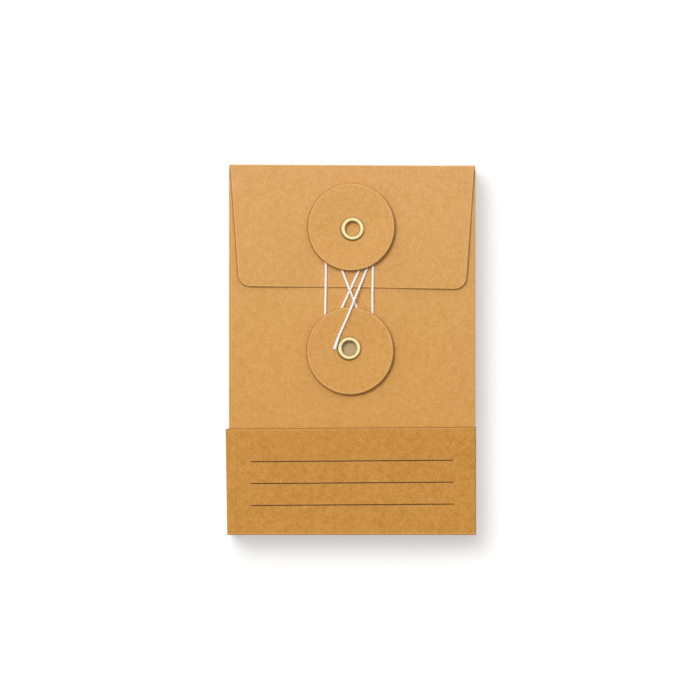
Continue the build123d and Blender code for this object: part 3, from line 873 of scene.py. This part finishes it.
def edge_marks_and_painted_light(tree, colour):
    """Socket with the colour pale near a cut edge and dark along it, partly rubbed paper and partly painted
    light and shade, and darkest in a groove, as painted shade.
    """
    edge_share = add(tree, "ShaderNodeAttribute", attribute_name="edge").outputs["Fac"]
    colour = mix_colour(tree, ramp(tree, edge_share, EDGE_RUBBED_AND_HIGHLIGHT), colour, PALE_RUBBED_AND_HIGHLIGHT_TONE)
    colour = mix_colour(tree, ramp(tree, edge_share, EDGE_CUT_AND_SHADE), colour, DARK_CUT_AND_SHADE_TONE)
    # Painted shade: the groove round an eyelet is darkened most below the flange.
    groove_and_shade = add(tree, "ShaderNodeAttribute", attribute_name="groove_and_shade").outputs["Fac"]
    return mix_colour(tree, groove_and_shade, colour, GROOVE_SHADE_TONE)


def painted_pocket_shade(tree, height, colour):
    """Socket with painted shade: a greyer colour where a face looks up, below the pocket's mouth."""
    facing = add(tree, "ShaderNodeNewGeometry").outputs["Normal"]
    upward = add(tree, "ShaderNodeSeparateXYZ", {0: facing}).outputs[2]
    below_mouth = math(tree, "LESS_THAN", height, MOUTH_Y)
    inner = math(tree, "MULTIPLY", math(tree, "GREATER_THAN", upward, FACING_UP), below_mouth)
    return mix_colour(tree, inner, colour, POCKET_SHADE_TONE)


# %% [markdown]
# The finish itself puts these together. The tone climbs between two heights, warmer and darker at the
# pack's foot than at its top: painted light, a gradient that stands in for light and sheen falling off
# towards the foot. The level shades that tone, blue the most, and the same noises vary the roughness and
# lift a fine bump.

# %% Kraft paper
SHADED_FOOT_Y, LIT_TOP_Y = -30 * MM, 67 * MM
GRAIN_DEPTH = np.array([0.058, 0.085, 0.19])
ROUGH_SPREAD = 0.16
FIBRE_BUMP = 0.5
CLOUD_BUMP = 2.0


def kraft(name, low, high, grain, depth, specks, roughness, edge=False, pocket_shade=False, ink=None):
    """Kraft paper. Its sRGB tone goes from low at the pack's foot to high at the flap's crease, a painted
    gradient of light. Grain is its mottle's features to the metre, depth is how strong they are, and specks
    is the share of cells with a fleck. Its colour is twice tone times shade, where shade is a half on
    average."""
    material, tree, shader, place = start_material(name)
    height = add(tree, "ShaderNodeSeparateXYZ", {0: place}).outputs[1]
    level, cloud, mottle, crossed = paper_grain(tree, place, grain, specks)
    tone_reach = LIT_TOP_Y - SHADED_FOOT_Y
    # Painted light: the tone is darker and warmer at the pack's foot and paler at its top.
    climb = scaled(tree, height, 1 / tone_reach, -SHADED_FOOT_Y / tone_reach)
    climb = math(tree, "MINIMUM", math(tree, "MAXIMUM", climb, 0.0), 1.0)
    tone = ramp(tree, climb, [(0.0, linear(*low)), (1.0, linear(*high))])
    shade = ramp(tree, level, [(0.0, 0.5 - depth * GRAIN_DEPTH), (1.0, 0.5 + depth * GRAIN_DEPTH)])
    colour = add(tree, "ShaderNodeVectorMath", {0: tone, 1: shade}, operation="MULTIPLY").outputs[0]
    colour = add(tree, "ShaderNodeVectorMath", {0: colour, "Scale": 2.0}, operation="SCALE").outputs[0]
    if edge:
        colour = edge_marks_and_painted_light(tree, colour)
    if pocket_shade:
        colour = painted_pocket_shade(tree, height, colour)
    if ink is not None:
        colour = ink(tree, place, colour)
    rough = scaled(tree, mottle, ROUGH_SPREAD, roughness - ROUGH_SPREAD / 2)
    relief = scaled(tree, cloud, CLOUD_BUMP, scaled(tree, crossed, FIBRE_BUMP, mottle))
    normal = bump(tree, relief, strength=0.25, distance=0.04 * MM)
    links = {"Base Color": colour, "Roughness": rough, "Normal": normal, "Specular IOR Level": 0.35}
    connect(tree, shader, links)
    return material


# %% [markdown]
# The front of the band is a place to write on, with three plain ruled lines. They could be thin strips of
# mesh, but ink has no thickness, so the material draws them: it darkens the paper where a point is within a
# line.

# %% Ruled lines on the band
RULE_HEIGHTS = (-40.5 * MM, -48.5 * MM, -56.5 * MM)
RULE_REACH = 37.0 * MM
RULE_WIDTH = 0.4 * MM
INK_TONE = (*linear(46, 27, 14), 1.0)
INK_LEAST = 0.68
INK_SPREAD = 0.4
INK_SCALE = 2600.0


def ruled_lines(tree, place, colour):
    """Darkens the paper within half a line's width of each height, over the lines' reach, in front."""
    x, y, z = add(tree, "ShaderNodeSeparateXYZ", {0: place}).outputs
    within = math(tree, "LESS_THAN", math(tree, "ABSOLUTE", x), RULE_REACH)
    front = math(tree, "GREATER_THAN", z, BAND_FRONT)
    climb = scaled(tree, x, -BAND_TOP_SLOPE, y)
    away = [math(tree, "ABSOLUTE", math(tree, "SUBTRACT", climb, height)) for height in RULE_HEIGHTS]
    nearest = math(tree, "MINIMUM", math(tree, "MINIMUM", away[0], away[1]), away[2])
    line = math(tree, "LESS_THAN", nearest, RULE_WIDTH / 2)
    inked = math(tree, "MULTIPLY", line, math(tree, "MULTIPLY", within, front))
    soaked = noise(tree, place, INK_SCALE, 3.0)
    inked = math(tree, "MULTIPLY", inked, scaled(tree, soaked, INK_SPREAD, INK_LEAST))
    return mix_colour(tree, inked, colour, INK_TONE)


# %% [markdown]
# The pack has three kinds of kraft: the envelopes' paper, the discs' board, and the band's darker and
# coarser paper.

# %% Paper finishes
# Each look's low and high tones make a painted gradient of light from the pack's foot to its top; the
# band's two are the same.
PAPER_LOOK = dict(low=(213, 156, 82), high=(221, 167, 101), grain=1500.0, specks=0.06, roughness=0.62)
BOARD_LOOK = dict(low=(212, 155, 81), high=(219, 164, 96), grain=1600.0, specks=0.05, roughness=0.66)
BAND_LOOK = dict(low=(201, 142, 65), high=(201, 142, 65), grain=1700.0, specks=0.2, roughness=0.7)
paper_finish = kraft("kraft_paper", **PAPER_LOOK, depth=1.1)
flap_finish = kraft("kraft_paper_cut", **PAPER_LOOK, depth=1.0, edge=True)
pocket_shade_finish = kraft("kraft_paper_pocket_shade", **PAPER_LOOK, depth=1.0, pocket_shade=True)
board_finish = kraft("kraft_board", **BOARD_LOOK, depth=1.15, edge=True)
band_finish = kraft("band_kraft", **BAND_LOOK, depth=1.7, edge=True, ink=ruled_lines)
kraft_finishes = (paper_finish, flap_finish, pocket_shade_finish, board_finish, band_finish)
print("nodes in each kraft finish", [len(finish.node_tree.nodes) for finish in kraft_finishes])

# %% [markdown]
# The brass is bright and pale. Used metal has fine scratches and a little tarnish, so its roughness and its
# colour vary with two noises.

# %% Brass
TARNISH = [(0.25, (0.74, 0.6, 0.25)), (0.6, (0.86, 0.77, 0.44)), (1.0, (0.92, 0.85, 0.56))]
TARNISH_SCALE = 900.0
SCRATCH_SCALE = 6000.0
BRASS_SMOOTHEST = 0.08
BRASS_SPREAD = 0.16


def bright_brass(name):
    """Polished brass with faint tarnish and fine scratches."""
    material, tree, shader, place = start_material(name)
    tarnish = noise(tree, place, TARNISH_SCALE, 4.0)
    scratch = noise(tree, place, SCRATCH_SCALE, 2.0)
    colour = ramp(tree, tarnish, TARNISH)
    rough = scaled(tree, scratch, BRASS_SPREAD, BRASS_SMOOTHEST)
    normal = bump(tree, scratch, strength=0.15, distance=0.01 * MM)
    connect(tree, shader, {"Base Color": colour, "Roughness": rough, "Normal": normal, "Metallic": 1.0})
    return material


# %% [markdown]
# The string is white cotton. The valleys between its yarns are a little greyer, as painted shade, so its
# colour reads the lobe that was stored on its points. A fine noise stands for the fuzz of its fibres, and
# sheen for the light that they catch.

# %% Cotton
COTTON_AND_VALLEY_SHADE = [(0.0, (0.94, 0.92, 0.87)), (0.4, (0.98, 0.965, 0.93)), (1.0, (0.99, 0.985, 0.96))]
FUZZ_SCALE = 5200.0


def cotton(name):
    """White cotton yarn: painted shade between the lobes, with a fine fuzz."""
    material, tree, shader, place = start_material(name)
    lobe = add(tree, "ShaderNodeAttribute", attribute_name="lobe").outputs["Fac"]
    fuzz = noise(tree, place, FUZZ_SCALE, 3.0)
    # Painted shade: the colour is greyer in the valleys between the yarns.
    level = scaled(tree, lobe, 0.5, math(tree, "MULTIPLY", fuzz, 0.5))
    links = {
        "Base Color": ramp(tree, level, COTTON_AND_VALLEY_SHADE),
        "Normal": bump(tree, fuzz, strength=0.25, distance=0.04 * MM),
        "Roughness": 0.85,
        "Sheen Weight": 0.7,
        "Sheen Roughness": 0.5,
        "Specular IOR Level": 0.2,
    }
    connect(tree, shader, links)
    return material


# %% [markdown]
# Each solid of the frame and each new piece names its kind of material, so one table gives most of them
# their finish. The back panel has painted shade inside its pocket, and the flap has its pale and dark edge
# lines, partly rubbing and partly painted light and shade.

# %% Finishes on the pieces
brass_finish = bright_brass("bright_brass")
string_finish = cotton("cotton_string")
by_slot = {
    "kraft_paper": paper_finish,
    "kraft_board": board_finish,
    "band_paper": band_finish,
    "brass": brass_finish,
    "cotton_string": string_finish,
}


def dress(piece, finish):
    """Gives a piece one finish."""
    piece.data.materials.clear()
    piece.data.materials.append(finish)


for subpart in frame["record"]["subparts"]:
    dress(nodes[subpart["node"]], by_slot[subpart["material_slot"]])
for piece, slot in settled:
    dress(piece, by_slot[slot])
# Painted shade: the back panel's upward faces below the mouth are greyer.
dress(nodes["back_panel"], pocket_shade_finish)
dress(flap_sheet, flap_finish)

# %% [markdown]
# The pack lies on a white table under one wide soft lamp, above it and to the upper left, with a white
# room round it. The table is a floor that reaches far past the picture. It lies a hair below the pack, so
# that the two don't share a plane.

# %% Floor
FLOOR_REACH = 6.0
FLOOR_DROP = 0.02 * MM
floor_corners = FLOOR_REACH * np.array([(-1, -1, 0), (1, -1, 0), (1, 1, 0), (-1, 1, 0)], float)
floor_corners[:, 2] = -FLOOR_DROP
floor = build("floor", floor_corners, [np.array([[0, 1, 2, 3]])])
print("floor reaches", FLOOR_REACH, "m each way")

# %% [markdown]
# The floor is white to the camera and keeps the pack's soft shadow: what the camera sees of it is part lit
# paper and part even glow. The light that it throws back on the pack is that of plain paper.

# %% Finish of the floor
def seen(tree):
    """Socket that is 1 for rays that come from the camera, from gloss or through glass."""
    path = add(tree, "ShaderNodeLightPath").outputs
    gloss = math(tree, "MAXIMUM", path["Is Glossy Ray"], path["Is Transmission Ray"])
    return math(tree, "MAXIMUM", path["Is Camera Ray"], gloss)


FLOOR_PLAIN = 0.8
FLOOR_SHADE = 0.715
FLOOR_GLOW = 0.405
floor_finish = bpy.data.materials.new("floor")
floor_finish.use_nodes = True
floor_tree = floor_finish.node_tree
floor_tree.nodes.remove(floor_tree.nodes["Principled BSDF"])
plain = add(floor_tree, "ShaderNodeBsdfDiffuse", {"Color": (FLOOR_PLAIN, FLOOR_PLAIN, FLOOR_PLAIN, 1.0)})
shaded = add(floor_tree, "ShaderNodeBsdfDiffuse", {"Color": (FLOOR_SHADE, FLOOR_SHADE, FLOOR_SHADE, 1.0)})
glow = add(floor_tree, "ShaderNodeEmission", {"Strength": FLOOR_GLOW})
both = add(floor_tree, "ShaderNodeAddShader", {0: shaded.outputs[0], 1: glow.outputs[0]})
floor_links = {0: seen(floor_tree), 1: plain.outputs[0], 2: both.outputs[0]}
floor_mix = add(floor_tree, "ShaderNodeMixShader", floor_links)
connect(floor_tree, floor_tree.nodes["Material Output"], {"Surface": floor_mix.outputs[0]})
dress(floor, floor_finish)
print("nodes in the floor's finish", len(floor_tree.nodes))

# %% [markdown]
# The room lights the pack most from overhead, from beyond its top and from the left. A few sums on a ray's
# direction do that.

# %% Light of the room
ROOM_LIGHT = 0.65
LIT_EVEN, LIT_LEAST = 0.55, 0.05
LIT_TO_TOP, LIT_TO_RIGHT, LIT_ABOVE = 0.5, -0.22, 0.25
room = bpy.data.worlds.new("room")
room.use_nodes = True
scene.world = room
room_tree = room.node_tree
direction = add(room_tree, "ShaderNodeTexCoord").outputs["Generated"]
to_right, to_top, above = add(room_tree, "ShaderNodeSeparateXYZ", {0: direction}).outputs
lit = scaled(room_tree, to_top, LIT_TO_TOP, LIT_EVEN)
lit = scaled(room_tree, to_right, LIT_TO_RIGHT, lit)
lit = scaled(room_tree, above, LIT_ABOVE, lit)
lit = math(room_tree, "MULTIPLY", math(room_tree, "MAXIMUM", lit, LIT_LEAST), ROOM_LIGHT)
print("nodes for the room's light", len(room_tree.nodes))

# %% [markdown]
# What the brass reflects is set apart from that light: bright overhead, darker towards the pack's foot, and
# darker and warmer near the table. So its crown is bright, and its edges turned to the foot and into the
# hole are dark. To the camera the room is plain white.

# %% The room in the brass
SHOWN_EVEN, SHOWN_LEAST = 0.08, 0.02
SHOWN_ABOVE, SHOWN_TO_FOOT = 1.15, 0.7
ROOM_WHITE = (1.0, 1.0, 1.0, 1.0)
ROOM_WARM = (0.93, 0.69, 0.23, 1.0)
shown = scaled(room_tree, above, SHOWN_ABOVE, SHOWN_EVEN)
shown = scaled(room_tree, math(room_tree, "MINIMUM", to_top, 0.0), SHOWN_TO_FOOT, shown)
shown = math(room_tree, "MAXIMUM", shown, SHOWN_LEAST)
paths = add(room_tree, "ShaderNodeLightPath").outputs
glossy = paths["Is Glossy Ray"]
direct = paths["Is Camera Ray"]
strength = math(room_tree, "MULTIPLY", lit, math(room_tree, "SUBTRACT", 1.0, glossy))
strength = scaled(room_tree, shown, glossy, strength)
strength = scaled(room_tree, strength, math(room_tree, "SUBTRACT", 1.0, direct), direct)
low_in_room = math(room_tree, "MULTIPLY", math(room_tree, "SUBTRACT", 1.0, shown), glossy)
room_colour = mix_colour(room_tree, low_in_room, ROOM_WHITE, ROOM_WARM)
connect(room_tree, room_tree.nodes["Background"], {"Strength": strength, "Color": room_colour})
print("nodes in the room", len(room_tree.nodes))

# %% [markdown]
# The lamp is a square of light as wide as a window, three metres up. Its width makes the shadows soft, and
# its place at the upper left throws them to the right and down, as in the photograph. The brass shows only
# the room, because the lamp's own reflection would be a hard white square.

# %% Lamp
LAMP_PLACE = np.array([-0.9, 1.14, 3.0])
LAMP_SIZE = 1.6
LAMP_POWER = 66.5
lamp_data = bpy.data.lights.new("soft_lamp", "AREA")
lamp_data.shape = "SQUARE"
lamp_data.size = LAMP_SIZE
lamp_data.energy = LAMP_POWER
lamp = bpy.data.objects.new("soft_lamp", lamp_data)
lamp.location = LAMP_PLACE
lamp.visible_glossy = False
lamp.rotation_euler = Vector(LAMP_PLACE).to_track_quat("Z", "Y").to_euler()
scene.collection.objects.link(lamp)
print("lamp", LAMP_POWER, "W")
